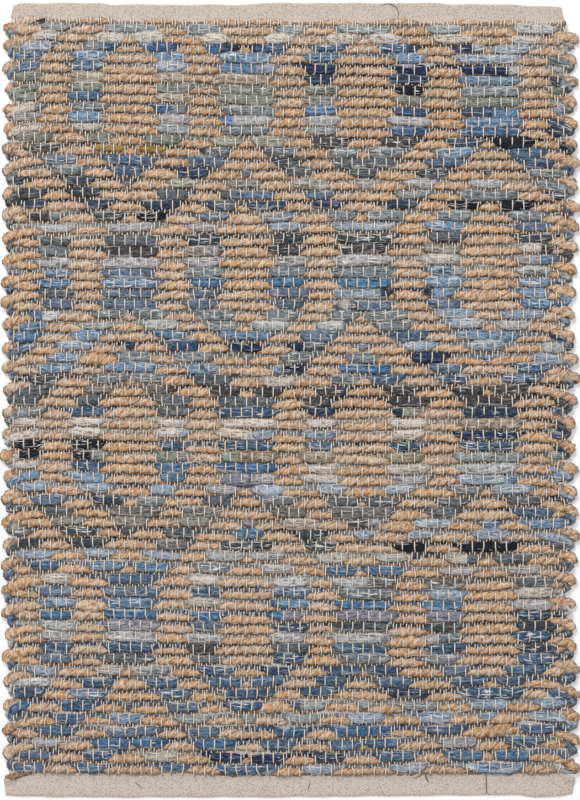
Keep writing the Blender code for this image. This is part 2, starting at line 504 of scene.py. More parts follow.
# A weft's last end sticks out of the selvedge by this much, and tapers by this share.
WEFT_TAIL = 0.007
WEFT_TAIL_TAPER = 0.5
PLY_SHAPE = [0.72, 0.94, 1.0, 0.97, 0.72, 0.94, 1.0, 0.97]
# The jute turns stand out of the side by about this much, and between two turns it draws in by this share.
LOOP_REACH = 0.0042
LOOP_REST = 0.15
loop_chance = random.Random(24)
loop_reaches = np.array([LOOP_REACH * loop_chance.uniform(0.55, 1.25) for _ in range(PAIRS // 2 + 3)])
jute_section = [
    (-JUTE_SIDE * reach * math.cos(math.tau * k / 8), JUTE_SIDE * reach * math.sin(math.tau * k / 8))
    for k, reach in enumerate(PLY_SHAPE)
]


def side_x(pair, side):
    """The scalloped outline of the rug at a pair, on the left (-1) or the right (1)."""
    turns = (pair + 0.5) / 2 if side < 0 else (pair - 0.5) / 2
    swell = np.cos(np.pi * (turns - np.round(turns))) ** 2
    reach = loop_reaches[int(round(turns))]
    return side * (RUG_WIDTH / 2 - inset(pair, side) + reach * (swell - LOOP_REST))


def lay_weft(weft, pairs, first_side, samples, back_every, turn_samples, loop_inset, chance):
    """A weft laid to and fro: rows of x, y, z, radius, tilt, pair. It has fewer points at the back."""
    rows = []
    side = first_side
    low, high = WEFT_EDGE_STEPS
    for pair in pairs:
        steps = np.arange(low, high + 1e-6, 1 / samples)
        if side > 0:
            steps = steps[::-1]
        warp_x = x_at(steps)
        x = drawn_in(pair, warp_x)
        face = face_share(weft, pair, x)
        arch = arch_share(weft, pair, x)
        tie_at = 0.0 if pair % 2 else 0.5
        from_tie = np.abs((steps - tie_at + 0.5) % 1 - 0.5)
        tied = np.exp(-(from_tie / TIE_SPREAD_STEPS) ** 2)
        knots = np.linspace(-0.31, 0.31, WANDER_KNOTS)
        wander = np.interp(x, knots, chance.normal(0.0, WANDER, WANDER_KNOTS))
        y = weft_y(weft, pair, x) + wander
        z = weft_z(weft, pair, x) - weft["dip"] * tied * (2 * face - 1)
        thick = 1 - weft["swell"] / 2 - CROSSING_THIN * face * (1 - face)
        thick = thick + weft["swell"] * arch - weft["pinch"] * tied
        to_turn = np.clip(1 - np.abs(x - x[-1]) / TURN_LEAD, 0, 1)
        thick += (weft["turn"] - 1) * TURN_SHARES["swell"] * to_turn ** 2
        z += (weft["turn_z"] - z) * TURN_SHARES["lift"] * to_turn ** 2
        y -= TURN_DROP * to_turn ** 2
        from_turn = np.clip(1 - np.abs(x - x[0]) / TURN_TAIL, 0, 1)
        thick += (weft["tuck"] - thick) * TURN_SHARES["thin"] * from_turn
        z += (weft["tuck_z"] - z) * TURN_SHARES["tuck"] * from_turn
        shown = (face > BACK_SHARE) | (np.arange(len(steps)) % back_every == 0)
        shown[[0, -1]] = True
        rows.append(np.stack([x, y, z, thick, 0 * x, 0 * x + pair], axis=1)[shown])
        side = -side
        if pair == pairs[-1]:
            share = np.linspace(0.3, 1, 3)
            same = np.ones(len(share))
            tail_x = x[-1] + side * WEFT_TAIL * share
            tail_thick = thick[-1] * (1 - WEFT_TAIL_TAPER * share)
            tail = [tail_x, y[-1] * same, z[-1] * same, tail_thick, 0 * same, pair * same]
            rows.append(np.stack(tail, axis=1))
            break
        next_x = drawn_in(pair + 1, warp_x[-1])
        next_y = weft_y(weft, pair + 1, next_x)
        next_z = weft_z(weft, pair + 1, next_x)
        next_z += (weft["tuck_z"] - next_z) * TURN_SHARES["tuck"]
        bend = np.linspace(0, 1, turn_samples + 2)[1:-1]
        share = (1 - np.cos(np.pi * bend)) / 2
        tip = side_x(pair + 0.5, side) - side * loop_inset
        turn_x = x[-1] + (next_x - x[-1]) * share
        turn_x += (tip - (x[-1] + next_x) / 2) * np.sin(np.pi * bend ** TURN_DROOP)
        turn_y = y[-1] + (next_y - y[-1]) * share
        heights = [z[-1], weft["turn_z"], weft["turn_z"], weft["tuck_z"], next_z]
        turn_z = np.interp(bend, TURN_STAGES, heights)
        widths = [thick[-1], weft["turn"], weft["turn"], weft["tuck"], weft["tuck"]]
        thick = np.interp(bend, TURN_STAGES, widths)
        twist = np.sin(np.pi * bend) * chance.normal(0.0, 1.0) * weft["turn_twist"]
        rows.append(np.stack([turn_x, turn_y, turn_z, thick, twist, 0 * thick + pair + 0.5], axis=1))
    return np.concatenate(rows)


def crush_rings(mesh, strand, section, up, lumps, chance):
    """Press a yarn's rings flatter about their own middles, make them lumpy, and keep them off the floor."""
    places = np.empty(3 * len(mesh.vertices))
    mesh.vertices.foreach_get("co", places)
    middle = np.repeat(strand[:, 2], len(section))
    places[2::3] = middle + (places[2::3] - middle) * up
    at_turn = np.repeat(strand[:, 5] % 1 > 0, 3 * len(section))
    places += chance.normal(0.0, lumps, len(places)) * (1 + at_turn)
    places[2::3] = np.maximum(places[2::3], 0.0)
    mesh.vertices.foreach_set("co", places)


def paint_rings(mesh, name, colors, section):
    """Give each ring of a yarn its own dyed colour, as an attribute that its material reads."""
    paint = mesh.color_attributes.new(name, "FLOAT_COLOR", "POINT")
    of_points = np.repeat(np.insert(colors, 3, 1.0, axis=1), len(section), axis=0)
    paint.data.foreach_set("color", of_points.ravel())


def drift(chance, along, every, spread):
    """A slow random drift along a yarn, with a turn every so many metres."""
    knots = chance.normal(0.0, spread, int(along[-1] / every) + 3)
    return np.interp(along / every, np.arange(len(knots)), knots)


def painted(start, name):
    return start.node("ShaderNodeAttribute", {"attribute_name": name}, None, "Color")


# Lumps in the jute, and one thin end: pair, place across, how much thicker, length.
SLUBS = [
    (1, -0.285, 0.60, 0.016), (2, -0.284, 0.50, 0.018), (6, 0.252, 0.30, 0.020), (16, -0.145, 0.25, 0.016),
    (19, -0.262, 0.45, 0.014), (20, -0.275, 0.40, 0.016), (26, 0.212, 0.35, 0.012),
    (27, 0.205, 0.45, 0.024), (33, -0.203, 0.25, 0.016), (39, -0.092, 0.25, 0.016),
    (47, 0.118, 0.55, 0.018), (48, 0.116, 0.55, 0.017), (53, -0.045, 0.30, 0.024),
    (53, -0.285, 0.30, 0.014), (55, -0.200, 0.45, 0.018), (56, -0.215, 0.30, 0.018),
    (58, 0.133, 0.50, 0.017), (60, 0.037, 0.30, 0.014), (62, -0.180, 0.25, 0.020),
    (63, -0.088, 0.25, 0.018), (64, -0.015, 0.25, 0.018), (65, 0.215, 0.50, 0.014),
    (66, 0.218, 0.60, 0.020), (68, 0.100, 0.45, 0.006), (68, 0.162, 0.60, 0.013),
    (69, -0.294, -0.25, 0.016), (66, 0.045, 0.45, 0.014),
]

jute_chance = np.random.default_rng(11)
jute_path = lay_weft(
    JUTE, range(1, PAIRS + 1), 1,
    JUTE_SAMPLES, JUTE_BACK_EVERY, JUTE_TURN_SAMPLES, JUTE_LOOP_INSET, jute_chance
)
jute_along = length_along(jute_path)
jute_path[:, 3] *= (
    1 + drift(jute_chance, jute_along, 0.022, 0.09) + drift(jute_chance, jute_along, 0.006, 0.06)
)
jute_path[:, 3] *= np.where(jute_path[:, 5] < 2, FIRST_PICK_THICK, 1.0)
for pair, middle, swell, length in SLUBS:
    near = np.exp(-((jute_path[:, 0] - middle) / length) ** 2) * (jute_path[:, 5] == pair)
    jute_path[:, 3] *= 1 + swell * near
jute_path[:, 4] = -math.tau * jute_along / JUTE_TWIST + drift(jute_chance, jute_along, 0.022, 1.3)

# The jute comes off balls of slightly different shade: pair, how golden it is, how bright.
# Pair 1 is painted brighter, partly to make up for the shade that the heading casts on it.
JUTE_LOTS = np.array([
    (1, 0.35, 1.04), (2, 0.35, 0.90), (5, 0.30, 0.78), (10, 0.80, 0.87), (13, 0.80, 0.83), (15, 0.45, 0.84),
    (17, 0.66, 0.90), (21, 0.66, 1.0), (29, 0.50, 0.95), (34, 0.55, 0.91), (42, 0.60, 0.96),
    (46, 0.58, 0.91), (58, 0.64, 0.95), (62, 0.75, 0.91), (66, 0.72, 0.90), (69, 0.66, 0.82),
])
golden = np.interp(jute_path[:, 5], JUTE_LOTS[:, 0], JUTE_LOTS[:, 1])
golden = np.clip(golden + drift(jute_chance, jute_along, 0.09, 0.38), 0, 1)[:, None]
brown = 0.6 * np.clip(0.24 + drift(jute_chance, jute_along, 0.024, 0.42), 0, 1)[:, None]
yellow_tone, pale_tone, brown_tone = np.array([dyed(224, 182, 136), dyed(216, 197, 178), dyed(186, 146, 108)])
jute_colors = (pale_tone * (1 - golden) + yellow_tone * golden) * (1 - brown) + brown_tone * brown
jute_colors *= np.interp(jute_path[:, 5], JUTE_LOTS[:, 0], JUTE_LOTS[:, 2])[:, None]

jute_material, jute_shader, start = material_of("jute", 0.95, 0.05)
place, _, angle = round_yarn(start, 150.0, 1.5)
mottle = noise(place, 1.1, 2.0)
hairs = noise(round_yarn(start, 420.0, 7.0)[0], 1.0, 3.0)
broken = noise(round_yarn(start, 60.0, 0.5)[0], 1.3, 1.0).rise(0.38, 0.58)
# The ply grooves are painted a darker brown: partly the fibre's own colour there, partly painted shade.
crease = (1 - angle.math("SINE").math("ABSOLUTE").rise(0.0, 0.42)) * broken
rusty = mixed(mottle.rise(0.52, 0.68) * 0.55, painted(start, "jute_tone"), shade(190, 144, 102))
pale = mixed(mottle.rise(0.46, 0.30) * 0.55, rusty, shade(222, 204, 186))
creased = mixed(crease * 0.85, pale, shade(108, 70, 44))
tufts = noise(round_yarn(start, 380.0, 2.6)[0], 1.0, 2.0)
tufted = mixed(tufts.rise(0.50, 0.64) * 0.65, creased, shade(228, 208, 186))
# Painted shade: darker where the bump is low, in its hollows.
bump_hollow_shaded = mixed(tufts.rise(0.50, 0.36) * 0.75, tufted, shade(142, 98, 64))
flecked = mixed(hairs.rise(0.54, 0.36) * 0.66, bump_hollow_shaded, shade(136, 98, 70))
flecked = mixed(hairs.rise(0.54, 0.70) * 0.45, flecked, shade(234, 216, 196))
# Painted shade: the jute darkens towards the cloth's hollows, to a dark brown.
jute_tone = shaded_within(start, flecked, 0.56, shade(76, 48, 34))
put_on(jute_material, jute_shader, jute_tone, tufts, 0.0012)

half = int(np.argmax(jute_path[:, 5] >= PAIRS // 2 + 0.5))
for part, rows in enumerate((slice(0, half + 1), slice(half, len(jute_path)))):
    mesh = yarn_mesh(f"jute_weft_{part + 1}", [jute_path[rows]], jute_section)
    crush_rings(mesh, jute_path[rows], jute_section, JUTE_FLAT, JUTE_LUMPS, jute_chance)
    paint_rings(mesh, "jute_tone", jute_colors[rows], jute_section)
    hung(cut_ends_closed(mesh), jute_material)

# The rag weft: strips torn from worn denim and other cotton, folded in and laid as one long flat weft from
# the other side. A strip's face is blue and its back is pale, so folds show as streaks.
RAG_SIDE = 0.0051
RAG_LUMPS = 0.00026
RAG_SAMPLES = 5
RAG_BACK_EVERY = 3
RAG_TURN_SAMPLES = 9
RAG_LOOP_INSET = 0.0036
LAST_TURN_FROM = 0.274
LAST_TURN_THICK = 0.55
# How far apart in their noise the strips lie, so that each has folds of its own.
STRIP_SHIFT = (40.0, 40.0, 40.0)
rag_section = [
    (-RAG_SIDE, 0.0001), (-0.72 * RAG_SIDE, 0.0018), (-0.05 * RAG_SIDE, 0.0022), (0.68 * RAG_SIDE, 0.0019),
    (RAG_SIDE, 0.0000), (0.45 * RAG_SIDE, -0.0021), (-0.50 * RAG_SIDE, -0.0020),
]
# Shades of cloth: face, back.
SHADES = {
    "black": ((16, 18, 26), (52, 57, 66)),
    "ink": ((21, 33, 61), (86, 100, 130)),
    "navy": ((38, 51, 69), (104, 116, 138)),
    "charcoal": ((60, 59, 62), (112, 110, 110)),
    "dark_slate": ((54, 62, 69), (110, 116, 120)),
    "slate": ((83, 91, 99), (144, 147, 148)),
    "slate_blue": ((93, 110, 133), (148, 158, 176)),
    "denim": ((69, 96, 123), (134, 150, 170)),
    "indigo": ((49, 77, 105), (120, 138, 158)),
    "deep_blue": ((50, 75, 105), (120, 136, 160)),
    "cobalt": ((55, 92, 128), (124, 147, 176)),
    "bright_blue": ((66, 113, 153), (132, 161, 190)),
    "mid_blue": ((81, 116, 151), (147, 167, 188)),
    "sky": ((112, 142, 174), (176, 188, 202)),
    "light_blue": ((144, 160, 182), (192, 198, 204)),
    "pale_blue": ((174, 178, 182), (208, 208, 207)),
    "steel": ((114, 124, 132), (173, 176, 176)),
    "mist": ((141, 151, 155), (191, 194, 193)),
    "silver": ((188, 182, 177), (212, 205, 198)),
    "lilac": ((168, 166, 172), (206, 202, 200)),
    "mauve": ((126, 128, 144), (176, 176, 184)),
    "taupe": ((162, 148, 134), (196, 184, 170)),
    "grey": ((138, 134, 130), (184, 178, 170)),
    "ash": ((106, 104, 104), (160, 156, 154)),
    "sage": ((128, 133, 126), (174, 177, 170)),
    "pale_sage": ((156, 157, 144), (196, 195, 182)),
    "cream": ((202, 191, 178), (222, 213, 202)),
    "white": ((208, 200, 194), (226, 219, 212)),
    "gold": ((196, 164, 86), (76, 66, 48)),
    "olive": ((150, 138, 114), (186, 176, 156)),
}
# A strip torn narrower than the others, as a share of their width.
NARROW = {"gold": 0.66}
# For each pair, the strips in the order they lie from the left: shade, and where the strip ends, in
# centimetres from the left side.
STRIPS = {
    2: "mist 27, steel 29.5, mist 50, pale_blue 61",
    3: "silver 44, cream 50, silver 61",
    4: "mid_blue 2, light_blue 5, steel 10.5, cobalt 23, navy 27, cobalt 43, navy 50, light_blue 61",
    5: "mid_blue 6, sky 29, mid_blue 37, sky 47, light_blue 57, steel 61",
    6: "mid_blue 13, light_blue 21, mid_blue 27, light_blue 31, ink 53.5, pale_blue 61",
    7: "sage 5, taupe 31.5, navy 47, sky 56, navy 59, steel 61",
    8: "sage 38, black 45, steel 56, sage 61",
    9: "sage 7, mid_blue 12, taupe 21, sage 61",
    10: "cream 3.5, steel 15, cobalt 18, steel 30, mid_blue 37, deep_blue 52, mid_blue 57, light_blue 61",
    11: "lilac 6, sky 10.5, lilac 22.5, mid_blue 24.5, pale_blue 32, lilac 46, mid_blue 57, navy 61",
    12: "cream 4.5, silver 13, mist 21, steel 30, mist 37, cobalt 57, navy 61",
    13: "grey 4, sage 22, pale_sage 31.5, charcoal 44, deep_blue 51, black 61",
    14: "charcoal 9.4, gold 17.5, navy 21.5, slate 32, steel 46.5, sky 51, denim 61",
    15: "slate_blue 9, denim 18, slate_blue 25, slate 28, dark_slate 33, slate 43, denim 50, deep_blue 61",
    16: "steel 10, denim 17, navy 22.5, steel 28, slate 42, dark_slate 56, steel 61",
    17: "dark_slate 15, pale_sage 22, grey 29, pale_sage 35, lilac 48, pale_blue 56, steel 61",
    18: "dark_slate 12, slate 24, slate_blue 38, ash 42, mist 47, steel 57, navy 61",
    19: "navy 22.5, slate 26, navy 45, black 58, charcoal 61",
    20: "charcoal 5, steel 8, dark_slate 14, black 18, slate_blue 26, steel 58, navy 61",
    21: "pale_blue 10, lilac 27, light_blue 43, sky 50, slate_blue 61",
    22: "slate 18, dark_slate 43, slate 50, dark_slate 61",
    23: "steel 7.5, charcoal 18.5, grey 23, charcoal 43, grey 50.5, silver 57, charcoal 61",
    24: "lilac 44, silver 48.5, lilac 57, mid_blue 61",
    25: "sky 9, slate_blue 19, steel 43, denim 47.5, pale_blue 61",
    26: "bright_blue 11, mid_blue 17, bright_blue 42, sky 61",
    27: "slate 9, slate_blue 34, light_blue 40, navy 42.5, deep_blue 45.5, sky 61",
    28: "slate_blue 33.5, white 36.6, navy 37.8, slate_blue 51, deep_blue 55, mid_blue 61",
    29: "grey 1.8, mid_blue 4.3, pale_blue 9, steel 44, light_blue 61",
    30: "mid_blue 4.5, pale_blue 20, mist 27, pale_blue 36, steel 46, light_blue 50, lilac 61",
    31: "mid_blue 5, sky 13, mid_blue 30, slate_blue 38, denim 46, sky 57, navy 61",
    32: "slate_blue 3, light_blue 11, navy 15.5, deep_blue 22.5, "
        "ink 32, slate 35.5, light_blue 56, pale_blue 61",
    33: "steel 5, sky 10, steel 42.5, ink 47.5, sky 54, light_blue 61",
    34: "sky 29.5, ink 32.5, bright_blue 42, slate_blue 50, denim 61",
    35: "charcoal 8, steel 18, slate 25.5, silver 33, steel 38, denim 44, deep_blue 61",
    36: "slate 7, ash 17, charcoal 61",
    37: "slate 30, charcoal 61",
    38: "steel 5, deep_blue 12, slate 21, indigo 30, navy 42.5, grey 46.5, navy 58, denim 61",
    39: "silver 2.5, white 48, taupe 56, charcoal 61",
    40: "white 18.5, pale_blue 21, cream 26, light_blue 38, white 46.5, ink 56, deep_blue 61",
    41: "black 12.5, indigo 57, navy 61",
    42: "silver 2, black 9.5, sage 25, olive 46, mist 61",
    43: "silver 7.5, deep_blue 13, mid_blue 22, cobalt 30, white 38, silver 46, pale_blue 57, light_blue 61",
    44: "sky 11, mid_blue 21, mauve 27, lilac 30, silver 38, lilac 47, light_blue 53, sky 61",
    45: "light_blue 12, navy 15.5, light_blue 20.5, lilac 26.6, light_blue 45, steel 52, light_blue 61",
    46: "slate_blue 9, navy 12.6, steel 20, slate 26, steel 33, slate 58, navy 61",
    47: "slate 10, ash 46, slate 50, denim 61",
    48: "grey 30, taupe 36.5, charcoal 39, light_blue 50, mid_blue 54, sky 61",
    49: "slate 3, dark_slate 10, slate 22, mid_blue 29, dark_slate 35.5, light_blue 61",
    50: "dark_slate 16, ash 21.5, dark_slate 41, black 55, slate 61",
    51: "light_blue 18, pale_blue 33.5, silver 43.4, deep_blue 46.8, silver 49.3, slate 61",
    52: "denim 6, mid_blue 18, steel 27, lilac 34, mid_blue 43.5, lilac 58, slate 61",
    53: "white 8, denim 18, white 25, pale_blue 38.5, ash 50, slate 61",
    54: "slate_blue 14, denim 26, slate_blue 34, steel 44, light_blue 50, silver 61",
    55: "sky 9, mid_blue 18, silver 26, bright_blue 50, lilac 61",
    56: "bright_blue 29.5, mauve 50, navy 61",
    57: "pale_blue 9, mauve 18, slate_blue 26, navy 34, dark_slate 61",
    58: "lilac 46, steel 51, indigo 61",
    59: "indigo 19, charcoal 27, slate 33, indigo 53, navy 61",
    60: "slate_blue 9, slate 27, indigo 34.5, steel 46, mauve 51, denim 61",
    61: "light_blue 9, silver 14.5, steel 19, denim 27, deep_blue 45, slate_blue 52, denim 61",
    62: "pale_blue 6.5, indigo 14, denim 32, indigo 36, denim 61",
    63: "deep_blue 5, slate_blue 14, denim 24, indigo 34, denim 40, navy 48, indigo 61",
    64: "cobalt 12, slate_blue 22.5, deep_blue 31.5, mist 48.5, light_blue 61",
    65: "denim 11, sky 17, mist 36, light_blue 61",
    66: "denim 10, slate_blue 17.5, denim 27, cobalt 43, denim 52, cobalt 61",
    67: "denim 2.5, lilac 8.5, cobalt 26, denim 34.5, cobalt 44, lilac 51, denim 61",
    68: "slate_blue 5, navy 7, deep_blue 13.5, silver 20.5, ink 33, navy 36, denim 45, mid_blue 61",
    69: "denim 31, light_blue 38, sky 41, light_blue 50, sky 57, pale_blue 61",
}

rag_chance = np.random.default_rng(17)
rag_path = lay_weft(
    RAG, range(2, PAIRS + 1), 1,
    RAG_SAMPLES, RAG_BACK_EVERY, RAG_TURN_SAMPLES, RAG_LOOP_INSET, rag_chance
)
rag_along = length_along(rag_path)
rag_path[:, 3] *= 1 + drift(rag_chance, rag_along, 0.040, 0.10)
rag_path[:, 4] += drift(rag_chance, rag_along, 0.035, 0.16)
rag_paints = {name: np.zeros((len(rag_path), 3)) for name in ("rag_face", "rag_back", "rag_strip")}
rag_thick = np.ones(len(rag_path))
for pair, order in STRIPS.items():
    for cloth, until in reversed([strip.split() for strip in order.split(", ")]):
        right_end = float(until) / 100 - RUG_WIDTH / 2
        mine = (np.round(rag_path[:, 5] - 0.25) == pair) & (rag_path[:, 0] < right_end)
        face, back = (np.array(dyed(*tone)) for tone in SHADES[cloth])
        tint = rag_chance.uniform(0.88, 1.06)
        rag_paints["rag_face"][mine] = face * tint
        rag_paints["rag_back"][mine] = back * tint
        rag_paints["rag_strip"][mine] = rag_chance.uniform(0.0, 1.0, 3)
        rag_thick[mine] = rag_chance.uniform(0.88, 1.18) * NARROW.get(cloth, 1.0)
at_last_turn = (rag_path[:, 5] > PAIRS - 1) & (rag_path[:, 0] > LAST_TURN_FROM)
rag_path[:, 3] *= rag_thick * np.where(at_last_turn, LAST_TURN_THICK, 1.0)

rag_material, rag_shader, start = material_of("worn_denim_rag", 0.9, 0.05)
strip = painted(start, "rag_strip")
fraying, folding, _ = strip.parts()
place, _, angle = round_yarn(start, 22.0, 1.5)
place = strip.scaled(STRIP_SHIFT, place)
close_place = strip.scaled(STRIP_SHIFT, round_yarn(start, 60.0, 2.6)[0])
folds = noise(place, 1.15, 2.0)
ridges = (noise(place, 0.9, 1.0) - 0.5).math("ABSOLUTE")
frays = noise(close_place, 1.3, 2.0)
grain = noise(round_yarn(start, 900.0, 9.0)[0], 1.0, 2.0)
patches = noise(round_yarn(start, 210.0, 2.4)[0], 1.0, 2.0)
turned = (folds + folding * 0.10).rise(0.63, 0.67)
streaked = mixed(turned, painted(start, "rag_face"), painted(start, "rag_back"))
# A dark copy of each strip's face: for the fine speckle of its weave, and for the painted shade below.
dark_speckle_and_shade_tone = painted(start, "rag_face").scaled((0.24, 0.20, 0.15), (0.006, 0.006, 0.008))
speckled = mixed(grain.rise(0.50, 0.36) * 0.60, streaked, dark_speckle_and_shade_tone)
heathered = mixed(grain.rise(0.50, 0.66) * 0.66, speckled, painted(start, "rag_back"))
worn = mixed(patches.rise(0.56, 0.70) * 0.60, heathered, painted(start, "rag_back"))
# Painted shade: darker where the bump is low, in its hollows.
rag_hollow_shaded = mixed(patches.rise(0.48, 0.34) * 0.75, worn, dark_speckle_and_shade_tone)
# Painted shade: thin dark lines along the strip, in its creases.
crease_shaded = mixed((1 - ridges.rise(0.004, 0.030)) * 0.9, rag_hollow_shaded, dark_speckle_and_shade_tone)
frayed = (frays + fraying * 0.15).rise(0.730, 0.765)
frayed_tone = mixed(frayed * 0.9, crease_shaded, shade(214, 212, 208))
fold_line = (noise(round_yarn(start, 30.0, 0.2)[0], 1.0) + frays * 0.3).rise(0.66, 0.72)
worn_edge = angle.math("COSINE").math("ABSOLUTE").rise(0.78, 0.96) * fold_line
edged = mixed(worn_edge * 0.5, frayed_tone, shade(212, 210, 206))
from_middle = place_on_rug(start).parts()[0].math("ABSOLUTE")
selvedge = from_middle.rise(0.284, 0.294) * patches.rise(0.44, 0.56)
fluffy = mixed(selvedge * 0.22, edged, shade(200, 194, 188))
# Painted shade: the rag darkens towards the cloth's hollows, to a near black.
rag_tone = shaded_within(start, fluffy, 0.40, shade(30, 22, 20))
put_on(rag_material, rag_shader, rag_tone, patches, 0.0012)

rag_mesh = yarn_mesh("rag_weft", [rag_path], rag_section)
crush_rings(rag_mesh, rag_path, rag_section, 1.0, RAG_LUMPS, rag_chance)
for name, colors in rag_paints.items():
    paint_rings(rag_mesh, name, colors, rag_section)
rag_weft = hung(cut_ends_closed(rag_mesh), rag_material)

# The two headings: flat bands of cream cotton in a pointed twill, woven on the same warp at both ends, turned
# under on themselves and pressed, so that each is a double thickness with a rolled outer edge.
HEM_THICKNESS = 0.0034
# Next to the jute the heading rises by this much, over these shares of its depth.
HEM_RISE = 0.0024
HEM_RISE_FROM = 0.45
HEM_RISE_OVER = 0.40
HEM_COLUMNS = 300
HEM_TOP_LINES = 16
HEM_ROLL_LINES = 5
HEM_UNDER_LINES = 3
# How far each heading runs in past the middle of the jute pick next to it: far, near.
HEM_LAPS = {1: 0.0012, -1: 0.0016}
# Near the selvedges its inner edge draws back by this much, and bares the last turns of the wefts: far, near.
HEM_CORNERS = {1: 0.0080, -1: 0.0120}
HEM_CORNER_FROM = 0.285
HEM_CORNER_OVER = 0.007
TWILL_PITCH = 0.0035
EDGE_BUMP = 0.00022
EDGE_BUMP_PITCHES = (0.0053, 0.0391, 0.0730)
# The outer edges: place across, inset of the far end's edge, inset of the near end's.
HEM_EDGES = np.array([
    (-0.300, 0.0050, 0.0020), (-0.284, 0.0000, 0.0010), (-0.200, 0.0000, 0.0000), (-0.190, 0.0016, 0.0000),
    (-0.046, 0.0018, 0.0003), (-0.030, 0.0000, 0.0000), (0.158, 0.0000, 0.0018), (0.170, 0.0012, 0.0022),
    (0.240, 0.0016, 0.0022), (0.256, 0.0032, 0.0004), (0.283, 0.0040, 0.0006), (0.300, 0.0080, 0.0040),
])
roll = HEM_THICKNESS / 2
roll_turn = np.linspace(0, np.pi, HEM_ROLL_LINES + 2)[1:-1]
top_share = np.linspace(1, 0, HEM_TOP_LINES)
hem_shares = np.concatenate([top_share, 0 * roll_turn, np.linspace(0, 1, HEM_UNDER_LINES), [1.0]])
hem_rolls = np.concatenate([
    np.full(HEM_TOP_LINES, roll), roll * (1 - np.sin(roll_turn)), np.full(HEM_UNDER_LINES, roll), [roll],
])
hem_heights = np.concatenate([
    HEM_THICKNESS + HEM_RISE * np.clip((top_share - HEM_RISE_FROM) / HEM_RISE_OVER, 0, 1) ** 2,
    roll * (1 + np.cos(roll_turn)),
    np.zeros(HEM_UNDER_LINES), [HEM_THICKNESS + HEM_RISE],
])


def heading(name, end):
    """One heading, pressed up against the jute next to it: end is 1 at the far end and -1 at the near one."""
    lines = len(hem_shares) - 1
    bm = bmesh.new()
    bmesh.ops.create_grid(bm, x_segments=HEM_COLUMNS, y_segments=lines, size=0.5)
    share = np.array([vert.co.x + 0.5 for vert in bm.verts])
    line = np.array([round((vert.co.y + 0.5) * lines) for vert in bm.verts])
    row = (0.0 if end > 0 else PAIRS + 1.0) - end * (1 - hem_shares[line])
    left = -RUG_WIDTH / 2 + inset(row, -1)
    right = RUG_WIDTH / 2 - inset(row, 1)
    x = left + (right - left) * share
    outer = end * (RUG_LENGTH / 2 - np.interp(x, HEM_EDGES[:, 0], HEM_EDGES[:, 1 if end > 0 else 2]))
    outer += sum(EDGE_BUMP * np.cos(math.tau * x / pitch + end) for pitch in EDGE_BUMP_PITCHES)
    corner = np.clip((np.abs(x) - HEM_CORNER_FROM) / HEM_CORNER_OVER, 0, 1)
    inner = row_y(1 if end > 0 else PAIRS, x) - end * (HEM_LAPS[end] - HEM_CORNERS[end] * corner)
    y = outer - end * hem_rolls[line] + (inner - outer) * hem_shares[line]
    for vert, *place in zip(bm.verts, x, y, hem_heights[line]):
        vert.co = place
    bmesh.ops.remove_doubles(bm, verts=bm.verts, dist=1e-6)
    open_edges = [edge for edge in bm.edges if edge.is_boundary]
    ends = bmesh.ops.holes_fill(bm, edges=open_edges)["faces"]
    bmesh.ops.triangulate(bm, faces=ends)
    bmesh.ops.recalc_face_normals(bm, faces=bm.faces)
    mesh = bpy.data.meshes.new(name)
    bm.to_mesh(mesh)
    bm.free()
    return mesh


hem_material, hem_shader, start = material_of("cotton_heading", 0.9, 0.05)
spot = place_on_rug(start)
spot_x, spot_y, _ = spot.parts()
from_point = (spot_x - THREADING_POINTS[1]).math("PINGPONG", THREADING_POINTS[2] - THREADING_POINTS[1])
slant = from_point + spot_y.math("ABSOLUTE")
twill = (slant * (math.tau / TWILL_PITCH)).math("SINE") * 0.5 + 0.5
blotches = noise(spot, 60.0, 2.0)
specks = noise(spot, 700.0, 2.0)
# Painted light: the near heading is painted lighter than the far one, to make up for the key lamp beyond the
# far end, which lights it less.
near_end_lightened = mixed(spot_y.rise(-0.1, 0.1), shade(212, 199, 190), shade(203, 190, 181))
ground = mixed(blotches.rise(0.35, 0.65) * 0.4, near_end_lightened, shade(206, 192, 180))
lined = mixed(twill * specks.rise(0.32, 0.62) * 0.50, ground, shade(146, 128, 114))
hem_tone = mixed(specks.rise(0.52, 0.36) * 0.70, lined, shade(140, 124, 112))
put_on(hem_material, hem_shader, hem_tone, specks, 0.0004)
hem_pieces = [hung(heading("heading_far", 1), hem_material), hung(heading("heading_near", -1), hem_material)]

# Loose threads: lint and broken weft threads that work out of the rag and lie on the face, and a few ends
# that hang out at the selvedges and off the near heading.
THREAD_SIDE = 0.00024
THREAD_TOP = 0.00028
THREAD_UNDER = 0.00014
THREAD_POINTS = 12
LINT_COUNT = 260
LINT_ACROSS = (-0.296, 0.276)
LINT_ALONG = (0.0, 0.007)
LINT_LENGTHS = (0.008, 0.030)
LINT_HEIGHTS = (0.0, 0.0006)
LINT_LIE = 14.0
LINT_BEND = 60.0
LINT_ODDS = [0.6, 0.2, 0.1, 0.1]
LINT_REST = 0.0102
TUFT_REST = 0.0100
TUFT_HEIGHTS = (0.0, 0.0014)
LINT_SHADES = [
    dyed(226, 222, 214), dyed(206, 208, 212), dyed(60, 72, 98), dyed(150, 166, 184), dyed(28, 32, 44)
]
